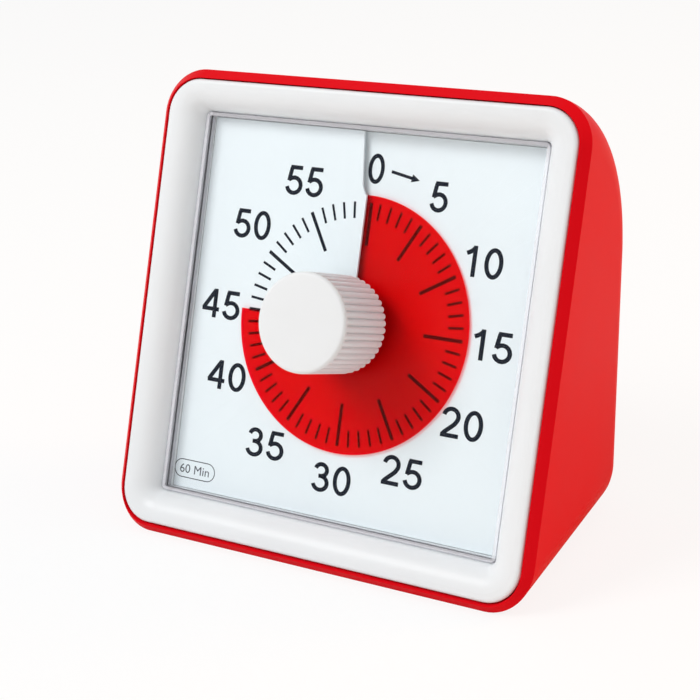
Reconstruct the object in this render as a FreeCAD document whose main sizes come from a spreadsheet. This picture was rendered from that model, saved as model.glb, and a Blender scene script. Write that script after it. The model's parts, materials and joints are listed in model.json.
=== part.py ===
import FreeCAD, Part
import math
import os
import re
import Sketcher

# A countdown timer with a red disc that shrinks behind a white dial.
# Millimetres, +Z up, the face looks to -Y. The origin is the middle of the base.
# The face frame has its origin at the dial's centre: x right, y up the face, z outward.

Vector = FreeCAD.Vector
Rotation = FreeCAD.Rotation
Placement = FreeCAD.Placement

SIZES = (
    # case
    ("face_width", 78.0, "width of the case across its front rim"),
    ("case_depth", 48.0, "depth of the case from front to back"),
    ("face_tilt", 19.33, "lean of the face from upright, degrees"),
    ("face_top", 38.7, "dial centre to the top of the case, up the face"),
    ("dial_height", 36.0, "height of the dial's centre over the base"),
    ("rim_front", 5.9, "front rim, out from the dial's plane"),
    ("rim_chamfer", 1.5, "chamfer round the front rim"),
    ("side_draft", 5.7, "lean of each side towards the back, degrees"),
    ("top_flat", 2.44, "flat of the top between the front rim and the curved back"),
    ("heel_curve", 8.2, "radius of the lower back edge"),
    ("edge_curve", 7.5, "radius of the long edges"),
    ("case_wall", 1.6, "wall of the case"),
    ("case_gap", 0.15, "gap round the bezel in the case"),
    # bezel and window
    ("bezel_front", 6.1, "crest of the bezel"),
    ("bezel_seat", 1.5, "back of the bezel frame"),
    ("bezel_roll", 4.2, "radius that rolls in to the window"),
    ("bezel_edge", 0.7, "radius of the bezel's outer edge"),
    ("bezel_side", 5.45, "bezel beside the window"),
    ("bezel_top", 4.95, "bezel above the window"),
    ("bezel_foot", 5.74, "bezel below the window"),
    ("window_corner", 1.0, "radius of the window's corners"),
    ("lens_front", 2.8, "front of the clear lens"),
    ("lens_back", 1.7, "back of the clear lens"),
    ("lens_foot", 0.9, "back of the lens's flange"),
    ("lens_lip", 1.1, "reach of the lens's flange behind the bezel"),
    ("lens_skirt", 0.7, "window edge to the inside of the lens's skirt"),
    ("lens_gap", 0.2, "gap round the lens in the window"),
    ("lens_bore", 4.6, "radius of the lens's hole behind the knob"),
    # dial card and red disc
    ("card_thickness", 0.4, "thickness of the dial card"),
    ("card_gap", 0.1, "gap round the card in its tray"),
    ("card_bore", 3.9, "radius of the card's hole"),
    ("card_lap", 6.0, "overlap of the card below its slit, degrees"),
    ("disc_climb", 1.2, "climb of the card and the disc in one turn"),
    ("disc_thickness", 0.2, "thickness of the red disc"),
    ("disc_radius", 21.05, "radius of the red disc"),
    ("disc_time", 45.0, "minutes that the red disc shows"),
    ("sheet_step", 6.0, "angle between the sections of card and disc, degrees"),
    ("slit_gap", 0.3, "width of the card's slit, degrees"),
    ("slit_side", 0.4, "reach of the slit to the left at the disc's rim"),
    ("slit_jog", 1.05, "step of the slit to the left past the disc"),
    ("jog_rise", 1.4, "height of that step past the disc's rim"),
    ("slit_lean", 2.0, "reach of the slit to the left at the card's top"),
    # tray that carries the dial
    ("tray_floor", 2.6, "depth of the tray's floor behind the dial"),
    ("tray_plate", 1.6, "thickness of the tray's floor"),
    ("tray_ledge", 2.6, "width of the ledge under the card"),
    # knob, hub and spindle
    ("spindle_radius", 1.5, "radius of the spindle"),
    ("spindle_tail", 13.5, "tail of the spindle behind the dial"),
    ("spindle_nose", 11.4, "nose of the spindle inside the knob"),
    ("spindle_flat", 1.1, "spindle axis to the flat at its nose"),
    ("running_gap", 0.05, "radial gap of a running fit"),
    ("body_gap", 0.3, "gap between pieces that move past each other"),
    ("hub_radius", 3.2, "radius of the hub inside the red disc"),
    ("hub_flange", 4.6, "radius of the hub's back flange"),
    ("hub_collar", 4.2, "radius of the hub's front collar"),
    ("flange_thickness", 0.65, "thickness of the hub's back flange"),
    ("collar_thickness", 0.9, "thickness of the hub's front collar"),
    ("knob_radius", 7.45, "radius of the knob between its ridges"),
    ("knob_base", 3.4, "back of the knob"),
    ("knob_front", 16.15, "front of the knob"),
    ("knob_bevel", 0.5, "length of the bevel at the knob's front"),
    ("bevel_depth", 0.25, "depth of the bevel at the knob's front"),
    ("ridge_root", 0.8, "width of a grip ridge at its root"),
    ("ridge_tip", 0.4, "width of a grip ridge at its tip"),
    ("ridge_reach", 0.5, "height of the grip ridges"),
    ("ridge_count", 42.0, "number of grip ridges"),
    # screws and their posts
    ("post_x", 22.0, "case screws, out to each side"),
    ("post_drop", 4.7, "case screws below the top of the case"),
    ("boss_radius", 1.8, "radius of the bezel's bosses"),
    ("boss_seat", 4.5, "joint of bosses and posts behind the dial"),
    ("post_radius", 3.0, "radius of the case's screw posts"),
    ("well_radius", 2.1, "radius of the screw wells"),
    ("head_seat", 6.5, "seat of the screw heads behind the dial"),
    ("head_radius", 1.8, "radius of a screw head"),
    ("head_height", 1.3, "height of a screw head"),
    ("screw_radius", 0.8, "radius of a screw's shank"),
    ("screw_hole", 1.1, "radius of a clearance hole"),
    ("screw_length", 9.0, "length of a case screw's shank"),
    ("slot_width", 0.5, "width of the slots in a screw head"),
    ("slot_depth", 0.6, "depth of the slots in a screw head"),
    ("rib_lap", 1.0, "reach of the ribs over the tray's edges"),
    ("rib_tall", 20.0, "half length of the ribs behind the tray"),
    ("rib_depth", 5.0, "depth of the ribs behind the tray"),
    ("nib_x", 19.0, "bezel's snap nibs, out to each side"),
    ("nib_width", 8.0, "width of a snap nib"),
    ("nib_bite", 0.3, "reach of the nibs into the case's floor"),
    ("nib_tall", 2.0, "height of a snap nib"),
    ("nib_front", 3.2, "front of the nibs"),
    ("nib_depth", 1.2, "depth of the nibs"),
    # movement
    ("movement_width", 44.0, "width of the movement"),
    ("movement_top", 19.0, "movement above the dial's centre"),
    ("movement_low", 13.0, "movement below the dial's centre"),
    ("movement_depth", 8.3, "depth of the movement"),
    ("movement_split", 4.2, "depth of the movement's front half"),
    ("movement_wall", 1.2, "wall of the movement's case"),
    ("ear_reach", 2.0, "movement screws, out from the movement's sides"),
    ("ear_y", 3.0, "movement screws above the dial's centre"),
    ("ear_radius", 3.0, "radius of the movement's ears"),
    ("ear_thickness", 2.0, "thickness of the movement's ears"),
    ("wheel_thickness", 0.6, "thickness of a wheel"),
    ("arbor_radius", 0.4, "radius of a wheel's arbor"),
    ("mesh_gap", 0.2, "gap between a wheel and the pinion beside it"),
    ("centre_wheel_radius", 7.5, "radius of the centre wheel"),
    ("centre_wheel_back", 8.9, "back of the centre wheel behind the dial"),
    ("washer_radius", 3.0, "radius of the friction washer"),
    ("washer_thickness", 0.3, "thickness of the friction washer"),
    ("third_wheel_radius", 5.2, "radius of the third wheel"),
    ("third_wheel_back", 7.4, "back of the third wheel behind the dial"),
    ("third_pinion_radius", 1.2, "radius of the third wheel's pinion"),
    ("second_wheel_radius", 4.2, "radius of the second wheel"),
    ("second_wheel_back", 10.6, "back of the second wheel behind the dial"),
    ("second_pinion_radius", 1.0, "radius of the second wheel's pinion"),
    ("second_wheel_bearing", 45.0, "direction from third to second wheel, degrees"),
    ("rotor_radius", 2.5, "radius of the rotor's magnet"),
    ("rotor_back", 9.4, "back of the rotor's magnet behind the dial"),
    ("rotor_length", 1.8, "length of the rotor's magnet"),
    ("rotor_pinion_radius", 0.8, "radius of the rotor's pinion"),
    ("stator_thickness", 0.8, "thickness of the stator"),
    ("stator_margin", 2.0, "stator left round the rotor's hole"),
    ("coil_radius", 2.6, "radius of the coil"),
    ("coil_length", 18.0, "length of the coil"),
    ("coil_left", 17.5, "left end of the coil"),
    ("core_width", 1.6, "width of the coil's core"),
    # battery bay, cell, contacts and door
    ("cell_radius", 7.25, "radius of the cell"),
    ("cell_length", 49.5, "length of the cell without its nub"),
    ("cell_nub_radius", 2.75, "radius of the cell's nub"),
    ("cell_nub", 1.0, "length of the cell's nub"),
    ("cell_back", 9.5, "cell axis in from the back"),
    ("cell_height", 17.0, "cell axis over the base"),
    ("bay_width", 58.0, "width of the battery bay"),
    ("bay_gap", 0.7, "gap round the cell in its bay"),
    ("bay_wall", 1.4, "wall of the battery bay"),
    ("frame_width", 3.0, "frame round the battery bay at the back"),
    ("contact_thickness", 0.6, "thickness of the contact plates"),
    ("contact_width", 9.0, "width of the contact plates"),
    ("contact_tall", 11.0, "height of the contact plates"),
    ("spring_radius", 3.4, "radius of the contact spring"),
    ("spring_wire", 0.35, "radius of the spring's wire"),
    ("spring_turns", 4.0, "turns of the contact spring"),
    ("door_width", 60.4, "width of the battery door"),
    ("door_thickness", 1.6, "thickness of the battery door"),
    ("door_low", 9.3, "height of the door's hinge over the base"),
    ("door_top", 26.0, "height of the door's top over the base"),
    ("pin_radius", 0.5, "radius of the door's hinge pins"),
    ("pin_length", 1.2, "length of the door's hinge pins"),
    ("latch_width", 8.0, "width of the door's latch tab"),
    ("latch_depth", 1.2, "depth of the door's latch tab"),
    ("latch_tall", 1.0, "height of the door's latch tab"),
    ("grip_count", 4.0, "grooves in the door's finger grip"),
    ("grip_pitch", 1.4, "pitch of the grip's grooves"),
    ("grip_width", 14.0, "length of the grip's grooves"),
    ("grip_groove", 0.6, "width of one grip groove"),
    ("grip_depth", 0.4, "depth of one grip groove"),
    # circuit board, sounder and volume switch
    ("board_width", 52.0, "width of the circuit board"),
    ("board_low", 29.8, "bottom of the circuit board over the base"),
    ("board_top", 45.0, "top of the circuit board over the base"),
    ("board_back", 9.5, "back of the circuit board in from the back of the case"),
    ("board_thickness", 1.6, "thickness of the circuit board"),
    ("board_post_x", 22.5, "board screws, out to each side"),
    ("board_post_z", 32.6, "board screws over the base"),
    ("board_post_radius", 2.3, "radius of the board's posts"),
    ("board_screw_length", 6.0, "length of a board screw's shank"),
    ("panel_height", 38.0, "height of the switch and the sound holes"),
    ("sounder_x", 13.0, "sounder, out to the left seen from the front"),
    ("sounder_radius", 6.0, "radius of the sounder"),
    ("sounder_length", 5.5, "length of the sounder"),
    ("sound_hole", 0.8, "radius of one sound hole"),
    ("sound_ring", 2.9, "radius of the ring of sound holes"),
    ("sound_count", 6.0, "sound holes in the ring"),
    ("switch_x", 13.0, "volume switch, out to the right seen from the front"),
    ("switch_travel", 2.5, "travel of the slider to each side"),
    ("slider_width", 3.0, "width of the slider"),
    ("slider_tall", 2.4, "height of the slider"),
    ("slider_below", 0.2, "slider's tip in from the back of the case"),
    ("slider_foot", 4.4, "width of the slider's foot"),
    ("foot_thickness", 1.2, "thickness of the slider's foot"),
    ("panel_recess", 1.6, "depth of the recess round the slider"),
    ("recess_width", 14.0, "width of the recess round the slider"),
    ("recess_tall", 6.0, "height of the recess round the slider"),
    ("panel_wall", 1.4, "wall behind the recess"),
    ("panel_margin", 1.5, "pad left round the recess inside"),
    ("switch_width", 13.0, "width of the switch body"),
    ("switch_tall", 5.6, "height of the switch body"),
)

doc = FreeCAD.newDocument("countdown_timer")
sheet = doc.addObject("Spreadsheet::Sheet", "Sizes")
for row, (alias, number, meaning) in enumerate(SIZES, start=1):
    sheet.set("A%d" % row, meaning)
    sheet.set("B%d" % row, str(number))
    sheet.setAlias("B%d" % row, alias)
doc.recompute()

ALIASES = {alias for alias, number, meaning in SIZES}
pieces = []


def size(alias):
    """One driving dimension as a number."""
    return float(sheet.get(alias))


def linked(formula):
    """A formula of sheet names, written so that the document follows the sheet."""
    def name_in_sheet(word):
        text = word.group()
        return "Sizes." + text if text in ALIASES else text
    return re.sub(r"[a-z][a-z_]*", name_in_sheet, formula)


# The face frame: where the dial stands in the case.
lean = math.radians(size("face_tilt"))
lower_rim = (size("dial_height") + size("rim_front") * math.sin(lean)) / math.cos(lean)
front_reach = (lower_rim - size("rim_chamfer")) * math.sin(lean) + size("rim_front") * math.cos(lean)
dial_y = front_reach - size("case_depth") / 2
dial_z = size("dial_height")
flat_end = size("rim_front") - size("top_flat")
behind_top = size("case_depth") / 2 - dial_y - size("face_top") * math.sin(lean) + flat_end * math.cos(lean)
back_curve = behind_top / (1 - math.sin(lean))
FACE = Placement(Vector(0, dial_y, dial_z), Rotation(Vector(1, 0, 0), 90 - size("face_tilt")))
AXIS_TURNS = {
    "x": Rotation(Vector(0, 1, 0), 90),
    "y": Rotation(Vector(1, 0, 0), -90),
    "z": Rotation(),
}


def follow(piece, **formulas):
    """Bind properties of one object to the sheet."""
    for name, formula in formulas.items():
        piece.setExpression(name, linked(formula))


def move(piece, x, y, z):
    """Bind the place of one object to the sheet."""
    for letter, formula in (("x", x), ("y", y), ("z", z)):
        piece.setExpression(".Placement.Base." + letter, linked(formula))


def block(name, x, y, z):
    """A box between two places on each axis."""
    piece = doc.addObject("Part::Box", name)
    follow(
        piece,
        Length="(%s) - (%s)" % (x[1], x[0]),
        Width="(%s) - (%s)" % (y[1], y[0]),
        Height="(%s) - (%s)" % (z[1], z[0]),
    )
    move(piece, x[0], y[0], z[0])
    return piece


def rod(name, radius, low, high, first="0", second="0", along="z"):
    """A cylinder between two places on an axis; first and second are the other two coordinates."""
    piece = doc.addObject("Part::Cylinder", name)
    piece.Placement = Placement(Vector(), AXIS_TURNS[along])
    follow(piece, Radius=radius, Height="(%s) - (%s)" % (high, low))
    centre = {"x": (low, first, second), "y": (first, low, second), "z": (first, second, low)}
    move(piece, *centre[along])
    return piece


def fuse(name, *parts):
    """Several solids as one."""
    joined = doc.addObject("Part::MultiFuse", name)
    joined.Shapes = list(parts)
    joined.Refine = True
    return joined


def cut(name, base, *tools):
    """A solid less one or more others."""
    tool = tools[0] if len(tools) == 1 else fuse(name + "_tools", *tools)
    left = doc.addObject("Part::Cut", name)
    left.Base = base
    left.Tool = tool
    left.Refine = True
    return left


def overlap(name, first, second):
    """What two solids share."""
    shared = doc.addObject("Part::Common", name)
    shared.Base = first
    shared.Tool = second
    return shared


def rounded(name, base, radius, chosen):
    """Fillets on the edges that a test chooses."""
    doc.recompute()
    fillet = doc.addObject("Part::Fillet", name)
    fillet.Base = base
    numbered = enumerate(base.Shape.Edges, start=1)
    fillet.Edges = [(number, radius, radius) for number, edge in numbered if chosen(edge)]
    return fillet


def shaped(name, shape, placement=None):
    """A free form as an object, placed after its shape is set."""
    piece = doc.addObject("Part::Feature", name)
    piece.Shape = shape
    if placement:
        piece.Placement = placement
    return piece


def keep(piece, label, placement=None):
    """Name one finished piece and set it in its place."""
    piece.Label = label
    if placement:
        piece.Placement = placement
    pieces.append(piece)


def middle(edge):
    return edge.valueAt((edge.FirstParameter + edge.LastParameter) / 2)


def is_upright(edge):
    """A straight edge along z."""
    ends = [vertex.Point for vertex in edge.Vertexes]
    return len(ends) == 2 and (ends[0] - ends[1]).cross(Vector(0, 0, 1)).Length < 1e-6


def lies_at(edge, height):
    return all(abs(vertex.Point.z - height) < 1e-4 for vertex in edge.Vertexes)


def case_form(inset, front, flats=False):
    """The case's form in the face frame, set in by some amount, cut off at a front plane, with soft long edges."""
    sine, cosine = math.sin(lean), math.cos(lean)
    base = inset
    back = size("case_depth") / 2 - inset
    top = size("face_top") - inset
    curve = back_curve - inset
    heel = size("heel_curve") - inset
    arc_y = top - curve
    arc_z = (dial_y + arc_y * sine - (back - curve)) / cosine
    arc_height = dial_z + arc_y * cosine + arc_z * sine

    def from_case(y, z):
        """A place in the side view of the case, written in the face frame."""
        return Vector(0, (y - dial_y) * sine + (z - dial_z) * cosine, (z - dial_z) * sine - (y - dial_y) * cosine)

    half_turn = (math.pi / 2 - lean) / 2
    front_foot = Vector(0, (base - dial_z - front * sine) / cosine, front)
    front_top = Vector(0, top, front)
    crown = Vector(0, top, arc_z)
    shoulder = from_case(back - curve + curve * math.cos(half_turn), arc_height + curve * math.sin(half_turn))
    back_top = from_case(back, arc_height)
    heel_top = from_case(back, base + heel)
    heel_middle = from_case(back - heel * (1 - math.sqrt(0.5)), base + heel * (1 - math.sqrt(0.5)))
    heel_low = from_case(back - heel, base)
    outline = Part.Wire([
        Part.LineSegment(front_foot, heel_low).toShape(),
        Part.Arc(heel_low, heel_middle, heel_top).toShape(),
        Part.LineSegment(heel_top, back_top).toShape(),
        Part.Arc(back_top, shoulder, crown).toShape(),
        Part.LineSegment(crown, front_top).toShape(),
        Part.LineSegment(front_top, front_foot).toShape(),
    ])
    reach = size("face_width")
    form = Part.Face(outline).extrude(Vector(2 * reach, 0, 0))
    form.translate(Vector(-reach, 0, 0))
    slope = math.tan(math.radians(size("side_draft")))
    widest = size("rim_front") - size("rim_chamfer")
    deep = -2 * size("case_depth")
    near = front + 1
    for side in (-1, 1):
        half_near = size("face_width") / 2 - inset + (near - widest) * slope
        half_deep = size("face_width") / 2 - inset + (deep - widest) * slope
        corners = [
            Vector(side * half_near, -reach, near),
            Vector(side * half_deep, -reach, deep),
            Vector(side * 2 * reach, -reach, deep),
            Vector(side * 2 * reach, -reach, near),
        ]
        beside = Part.Face(Part.makePolygon(corners + corners[:1])).extrude(Vector(0, 2 * reach, 0))
        form = form.cut(beside)

    def is_long_edge(edge):
        ends = [vertex.Point for vertex in edge.Vertexes]
        across = abs(ends[0].x - ends[1].x) > size("face_width") / 2
        return abs(middle(edge).x) > size("face_width") / 4 and not across and not lies_at(edge, front)

    long_edges = [edge for edge in form.Edges if is_long_edge(edge)]
    soft = size("edge_curve") - inset
    if flats:
        return form.makeChamfer(soft * (2 - math.sqrt(2)), long_edges)
    return form.makeFillet(soft, long_edges)


def skinned(rings):
    """A closed solid of flat triangles through rings of points, with a flat cap at each end."""
    faces = [Part.Face(Part.makePolygon(ring + ring[:1])) for ring in (rings[0], rings[-1])]
    for near, beyond in zip(rings, rings[1:]):
        for n in range(len(near)):
            after = (n + 1) % len(near)
            for corners in ([near[n], near[after], beyond[n]], [near[after], beyond[after], beyond[n]]):
                faces.append(Part.Face(Part.makePolygon(corners + corners[:1])))
    skin = Part.makeShell(faces)
    skin.sewShape()
    solid = Part.Solid(skin.Shells[0])
    if solid.Volume < 0:
        solid.reverse()
    return solid


def helical_sheet(inner, outer, low, high, start, sweep):
    """A sheet that climbs clockwise from a start angle past the top, through radial sections."""
    step = size("sheet_step")
    end = start + sweep
    between = range(math.floor(start / step) + 1, math.ceil(end / step))
    rings = []
    for angle in [start] + [n * step for n in between] + [end]:
        turn = math.radians(angle)
        rise = size("disc_climb") * angle / 360
        ring = [(inner, low), (outer, low), (outer, high), (inner, high)]
        rings.append([Vector(reach * math.sin(turn), reach * math.cos(turn), rise + level) for reach, level in ring])
    return skinned(rings)


def wound_wire(radius, wire, length, turns, steps_a_turn=16, sides=6):
    """A wire wound round +z, through many-sided sections."""
    steps = int(turns * steps_a_turn)
    rings = []
    for n in range(steps + 1):
        along = 2 * math.pi * n / steps_a_turn
        ring = []
        for side in range(sides):
            turn = 2 * math.pi * side / sides
            reach = radius + wire * math.cos(turn)
            level = length * n / steps + wire * math.sin(turn)
            ring.append(Vector(reach * math.cos(along), reach * math.sin(along), level))
        rings.append(ring)
    return skinned(rings)


def screw(label, length, head_low, x, y, placement):
    """A screw with a cross in its head; it points to +z and its head lies below head_low."""
    head = rod(label + "_head", "head_radius", "(%s) - head_height" % head_low, head_low, x, y)
    shank = rod(label + "_shank", "screw_radius", head_low, "(%s) + (%s)" % (head_low, length), x, y)
    slot_z = ("(%s) - head_height - 1" % head_low, "(%s) - head_height + slot_depth" % head_low)
    long_x = ("(%s) - head_radius * 0.6" % x, "(%s) + head_radius * 0.6" % x)
    long_y = ("(%s) - head_radius * 0.6" % y, "(%s) + head_radius * 0.6" % y)
    short_x = ("(%s) - slot_width / 2" % x, "(%s) + slot_width / 2" % x)
    short_y = ("(%s) - slot_width / 2" % y, "(%s) + slot_width / 2" % y)
    first_slot = block(label + "_slot", long_x, short_y, slot_z)
    second_slot = block(label + "_cross", short_x, long_y, slot_z)
    solid = fuse(label + "_solid", head, shank)
    keep(cut(label + "_cut", solid, first_slot, second_slot), label, placement)


POSTS = (("-post_x", "face_top - post_drop"), ("post_x", "face_top - post_drop"))
NIBS = ("-nib_x", "nib_x")
NIB_LOW = "(case_wall - dial_height - nib_front * sin(face_tilt)) / cos(face_tilt) - nib_bite"
WINDOW_X = "(face_width / 2 - case_wall - case_gap - bezel_side)"
WINDOW_HIGH = "face_top - case_wall - case_gap - bezel_top"
BEZEL_LOW = "(case_wall + case_gap - dial_height - bezel_front * sin(face_tilt)) / cos(face_tilt)"
WINDOW_LOW = BEZEL_LOW + " + bezel_foot"
bezel_inset = size("case_wall") + size("case_gap")
window_half = size("face_width") / 2 - bezel_inset - size("bezel_side")
window_high = size("face_top") - bezel_inset - size("bezel_top")
bezel_low = (bezel_inset - dial_z - size("bezel_front") * math.sin(lean)) / math.cos(lean)
window_low = bezel_low + size("bezel_foot")


def window_block(name, margin, low, high):
    """A box with the window's outline, grown by a margin."""
    x = ("-%s - (%s)" % (WINDOW_X, margin), "%s + (%s)" % (WINDOW_X, margin))
    y = ("%s - (%s)" % (WINDOW_LOW, margin), "%s + (%s)" % (WINDOW_HIGH, margin))
    return block(name, x, y, (low, high))


def post_rods(name, radius, low, high):
    """The same cylinder on the axis of each case screw."""
    return [rod("%s_%d" % (name, n), radius, low, high, x, y) for n, (x, y) in enumerate(POSTS, start=1)]


# Rear housing: a thin shell with a tilted open front, a curved back and a battery bay.
outer_form = case_form(0.0, size("rim_front"))
rim_edges = [edge for edge in outer_form.Edges if lies_at(edge, size("rim_front"))]
outer = shaped("case_outer", outer_form.makeChamfer(size("rim_chamfer"), rim_edges), FACE)
def between_planes(form, low, high):
    """The part of a form between two planes parallel to the face."""
    wide = size("face_width")
    return form.common(Part.makeBox(2 * wide, 2 * wide, high - low, Vector(-wide, -wide, low)))


mouth_front = size("rim_front") + 1
mouth = between_planes(case_form(size("case_wall"), mouth_front), size("bezel_seat"), mouth_front)
cave = between_planes(case_form(size("case_wall"), mouth_front, flats=True), -2 * size("case_depth"), size("bezel_seat"))
shell = cut("case_shell", outer, shaped("case_mouth", mouth, FACE), shaped("case_cave", cave, FACE))

face_additions = post_rods("case_post", "post_radius", "-2 * case_depth", "-boss_seat")
for side in (-1, 1):
    rib_inner = WINDOW_X + " + lens_lip - rib_lap"
    rib_x = (rib_inner, "face_width") if side > 0 else ("-face_width", "-(%s)" % rib_inner)
    rib_z = ("-tray_floor - tray_plate - rib_depth", "-tray_floor - tray_plate")
    face_additions.append(block("tray_rib_%d" % (side + 2), rib_x, ("-rib_tall", "rib_tall"), rib_z))
posts_and_ribs = fuse("posts_and_ribs", *face_additions)
posts_and_ribs.Placement = FACE

BACK = "case_depth / 2"
DOOR_INSIDE = "case_depth / 2 - door_thickness"
BAY_LOW = "cell_height - cell_radius - bay_gap"
BAY_HIGH = "cell_height + cell_radius + bay_gap"
BAY_FRONT = "case_depth / 2 - cell_back - cell_radius - bay_gap"
bay_block = block(
    "bay_block",
    ("-bay_width / 2 - frame_width", "bay_width / 2 + frame_width"),
    (BAY_FRONT + " - bay_wall", BACK),
    (BAY_LOW + " - frame_width", BAY_HIGH + " + frame_width"),
)
PANEL_BACK = "case_depth / 2 - panel_recess"
panel_pad = block(
    "panel_pad",
    ("switch_x - recess_width / 2 - panel_margin", "switch_x + recess_width / 2 + panel_margin"),
    (PANEL_BACK + " - panel_wall", BACK),
    ("panel_height - recess_tall / 2 - panel_margin", "panel_height + recess_tall / 2 + panel_margin"),
)
BOARD_BACK = "case_depth / 2 - board_back"
board_posts = [
    rod("board_post_%d" % n, "board_post_radius", BOARD_BACK, BACK, x, "board_post_z", "y")
    for n, x in enumerate(("-board_post_x", "board_post_x"), start=1)
]
additions = fuse("case_additions", posts_and_ribs, bay_block, panel_pad, *board_posts)
filled = fuse("case_filled", shell, overlap("case_inside", additions, outer))

face_holes = post_rods("case_well", "well_radius", "-2 * case_depth", "-head_seat")
face_holes += post_rods("case_screw_hole", "screw_hole", "-head_seat - 1", "-boss_seat + 1")
for n, x in enumerate(NIBS, start=1):
    pocket_x = (x + " - nib_width / 2 - body_gap", x + " + nib_width / 2 + body_gap")
    pocket_y = (NIB_LOW + " - body_gap", NIB_LOW + " + nib_tall")
    pocket_z = ("nib_front - nib_depth - body_gap", "nib_front + body_gap")
    face_holes.append(block("nib_pocket_%d" % n, pocket_x, pocket_y, pocket_z))
face_cuts = fuse("case_face_cuts", *face_holes)
face_cuts.Placement = FACE
bay_hole = block(
    "bay_hole", ("-bay_width / 2", "bay_width / 2"), (BAY_FRONT, BACK + " + 1"), (BAY_LOW, BAY_HIGH)
)
door_recess = block(
    "door_recess",
    ("-door_width / 2 - body_gap", "door_width / 2 + body_gap"),
    (DOOR_INSIDE, BACK + " + 1"),
    ("door_low - door_thickness / 2 - body_gap", "door_top + body_gap"),
)
hinge_groove = block(
    "hinge_groove",
    ("-door_width / 2 - body_gap", "door_width / 2 + body_gap"),
    (DOOR_INSIDE + " - body_gap", BACK + " + 1"),
    ("door_low - door_thickness / 2 - body_gap", "door_low + door_thickness / 2 + body_gap"),
)
HINGE_Y = "case_depth / 2 - door_thickness / 2"
PIN_REACH = "door_width / 2 + pin_length"
hinge_sockets = rod(
    "hinge_sockets", "pin_radius + running_gap", "-(%s) - body_gap" % PIN_REACH,
    PIN_REACH + " + body_gap", HINGE_Y, "door_low", "x"
)
switch_recess = block(
    "switch_recess",
    ("switch_x - recess_width / 2", "switch_x + recess_width / 2"),
    (PANEL_BACK, BACK + " + 1"),
    ("panel_height - recess_tall / 2", "panel_height + recess_tall / 2"),
)
SLOT_HALF = "slider_width / 2 + switch_travel + body_gap"
switch_slot = block(
    "switch_slot",
    ("switch_x - (%s)" % SLOT_HALF, "switch_x + " + SLOT_HALF),
    (PANEL_BACK + " - panel_wall - 1", BACK),
    ("panel_height - slider_tall / 2 - body_gap", "panel_height + slider_tall / 2 + body_gap"),
)
THROUGH_BACK = ("case_depth / 2 - case_wall - 1", BACK + " + 1")
sound_holes = [rod("sound_hole_0", "sound_hole", *THROUGH_BACK, "-sounder_x", "panel_height", "y")]
for n in range(int(size("sound_count"))):
    turn = "%d * 360 / sound_count" % n
    hole_x = "-sounder_x + sound_ring * cos(%s)" % turn
    hole_z = "panel_height + sound_ring * sin(%s)" % turn
    sound_holes.append(rod("sound_hole_%d" % (n + 1), "sound_hole", *THROUGH_BACK, hole_x, hole_z, "y"))
board_pilots = [
    rod("board_pilot_%d" % n, "screw_radius", BOARD_BACK, BOARD_BACK + " + board_screw_length - board_thickness",
        x, "board_post_z", "y")
    for n, x in enumerate(("-board_post_x", "board_post_x"), start=1)
]
housing = cut(
    "case_cut", filled, face_cuts, bay_hole, door_recess, hinge_groove, hinge_sockets,
    switch_recess, switch_slot, *sound_holes, *board_pilots
)
keep(housing, "rear_housing")

# Front bezel: a white frame that rolls in to the window, with two screw bosses and two snap nibs.
bezel_form = shaped("bezel_form", case_form(bezel_inset, size("bezel_front")))
bezel_slab = block(
    "bezel_slab", ("-face_width", "face_width"), ("-face_width", "face_width"), ("bezel_seat", "bezel_front + 1")
)
bezel_blank = overlap("bezel_blank", bezel_form, bezel_slab)
window_hole = rounded(
    "window_hole", window_block("window_square", "0", "bezel_seat - 1", "bezel_front + 1"),
    size("window_corner"), is_upright
)
bezel_frame = cut("bezel_frame", bezel_blank, window_hole)


def beyond_corner(edge):
    """How far the middle of an edge lies outside the centres of the window's rounded corners."""
    at = middle(edge)
    corner = size("window_corner")
    across = max(abs(at.x) - window_half + corner, 0)
    along = max(at.y - window_high + corner, window_low + corner - at.y, 0)
    return math.hypot(across, along)


def is_window_crest(edge):
    return lies_at(edge, size("bezel_front")) and beyond_corner(edge) < size("window_corner") + 0.1


def near_front_outside(edge):
    rolled = size("window_corner") + size("bezel_roll")
    return lies_at(edge, size("bezel_front")) and beyond_corner(edge) > rolled + 0.1


bezel_rolled = rounded("bezel_rolled", bezel_frame, size("bezel_roll"), is_window_crest)
bezel_soft = rounded("bezel_soft", bezel_rolled, size("bezel_edge"), near_front_outside)
bezel_bosses = post_rods("bezel_boss", "boss_radius", "-boss_seat", "bezel_seat + 0.5")
bezel_pilots = post_rods("bezel_pilot", "screw_radius", "-boss_seat - 1", "-head_seat + screw_length")
bezel_nibs = []
for n, x in enumerate(NIBS, start=1):
    nib_x = (x + " - nib_width / 2", x + " + nib_width / 2")
    nib_z = ("nib_front - nib_depth", "nib_front")
    bezel_nibs.append(block("bezel_nib_%d" % n, nib_x, (NIB_LOW, NIB_LOW + " + nib_tall"), nib_z))
bezel_solid = fuse("bezel_solid", bezel_soft, *bezel_bosses, *bezel_nibs)
keep(cut("bezel_cut", bezel_solid, *bezel_pilots), "front_bezel", FACE)

# Window lens: a clear plate that fills the window, with a flange behind the bezel.
lens_flange = window_block("lens_flange", "lens_lip", "lens_foot", "bezel_seat")
lens_plate = rounded(
    "lens_plate", window_block("lens_square", "-lens_gap", "lens_foot", "lens_front"),
    size("window_corner") - size("lens_gap"), is_upright
)
lens_recess = window_block("lens_recess", "-lens_skirt", "lens_foot - 1", "lens_back")
lens_hole = rod("lens_hole", "lens_bore", "lens_foot - 1", "lens_front + 1")
lens_notches = post_rods("lens_notch", "boss_radius + body_gap", "lens_foot - 1", "lens_front")
lens_solid = fuse("lens_solid", lens_flange, lens_plate)
keep(cut("lens_cut", lens_solid, lens_recess, lens_hole, *lens_notches), "window_lens", FACE)

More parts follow.
